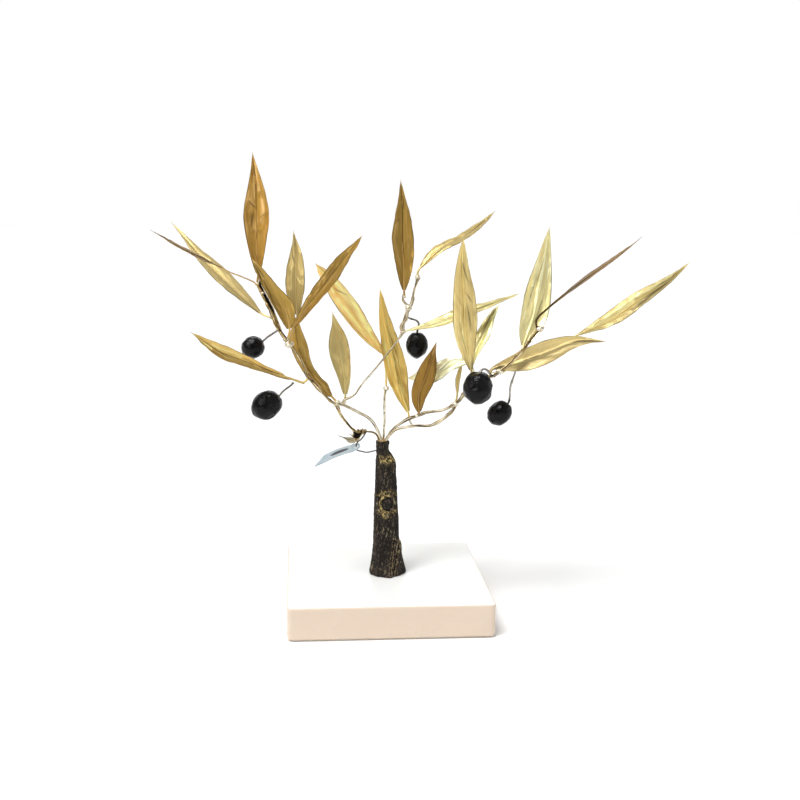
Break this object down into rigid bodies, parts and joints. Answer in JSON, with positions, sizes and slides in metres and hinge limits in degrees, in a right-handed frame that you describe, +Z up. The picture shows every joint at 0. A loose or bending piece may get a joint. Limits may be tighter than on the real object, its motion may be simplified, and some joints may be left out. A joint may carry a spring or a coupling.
{
  "type": "gilded olive tree ornament",
  "caption": "Gilded olive tree ornament: brass wire branches with creased leaves and glossy black olives, a bark stick trunk on a square marble base, and a small hang tag.",
  "frame": {"origin": "centre of the felt underside of the square base, where it stands on the table", "axes": "+Z up the trunk, +X to the right along the spread of the branches, -Y towards the front with the hang tag"},
  "size_m": [0.3158, 0.12, 0.2734],
  "materials": {
    "marble": "white marble, honed, softly polished top and edges",
    "felt": "thin pressed felt glued under the base",
    "steel": "plain zinc-plated steel",
    "bark": "natural dark bark, matte, with lichen flecks and pale splits",
    "glue": "set amber resin glue, slightly glossy",
    "gilt_brown": "gilded sheet, brown-gold, satin with creases",
    "gilt_pale": "gilded sheet, pale gold, satin with creases",
    "brass_wire": "gilded wire, bright, knobbly with solder",
    "dark_wire": "dark annealed binding wire",
    "olive_black": "glossy black lacquer over a lightly wrinkled skin",
    "card": "thin pale blue-white card with a dark bar printed on it"
  },
  "bodies": {
    "ornament": {"base_screw": "steel", "binding_left": "dark_wire", "bract_cup": "gilt_brown", "bract_spike": "gilt_pale", "branch_diagonal": "brass_wire", "branch_left_fork": "brass_wire", "branch_left_lower": "brass_wire", "branch_left_middle": "brass_wire", "branch_left_upper": "brass_wire", "branch_right_inner": "brass_wire", "branch_right_lower": "brass_wire", "branch_right_middle": "brass_wire", "branch_right_outer": "brass_wire", "branch_upright": "brass_wire", "felt_sheet": "felt", "glue_plug": "glue", "leaf_centre_back": "gilt_pale", "leaf_centre_dark": "gilt_brown", "leaf_centre_front": "gilt_pale", "leaf_centre_small": "gilt_brown", "leaf_left_back": "gilt_brown", "leaf_left_creased": "gilt_brown", "leaf_left_crossing": "gilt_brown", "leaf_left_low": "gilt_brown", "leaf_left_short": "gilt_brown", "leaf_left_thin": "gilt_brown", "leaf_left_top": "gilt_brown", "leaf_left_upright": "gilt_brown", "leaf_right_back": "gilt_pale", "leaf_right_behind": "gilt_pale", "leaf_right_broad": "gilt_pale", "leaf_right_bud": "gilt_pale", "leaf_right_edgewise": "gilt_pale", "leaf_right_far": "gilt_pale", "leaf_right_level": "gilt_pale", "leaf_right_low": "gilt_pale", "leaf_right_tall": "gilt_pale", "leaf_top": "gilt_brown", "leaf_top_right": "gilt_brown", "link_left": "dark_wire", "marble_base": "marble", "olive_centre": "olive_black", "olive_left_lower": "olive_black", "olive_left_upper": "olive_black", "olive_right_front": "olive_black", "olive_right_lower": "olive_black", "olive_stem_centre": "brass_wire", "olive_stem_left_lower": "brass_wire", "olive_stem_left_upper": "brass_wire", "olive_stem_right_front": "brass_wire", "olive_stem_right_lower": "brass_wire", "screw_washer": "steel", "tag_wire": "dark_wire", "trunk": "bark", "twig_spur": "brass_wire", "twig_top": "brass_wire", "twig_top_left": "brass_wire", "twig_top_right": "brass_wire"},
    "tag": {"tag_card": "card"}
  },
  "joints": [
    {"name": "tag_swing", "type": "hinge", "parent": "ornament", "child": "tag", "pos_m": [-0.019, -0.015, 0.1036], "axis": [0, 1, 0], "range_deg": [-20, 30]}
  ]
}
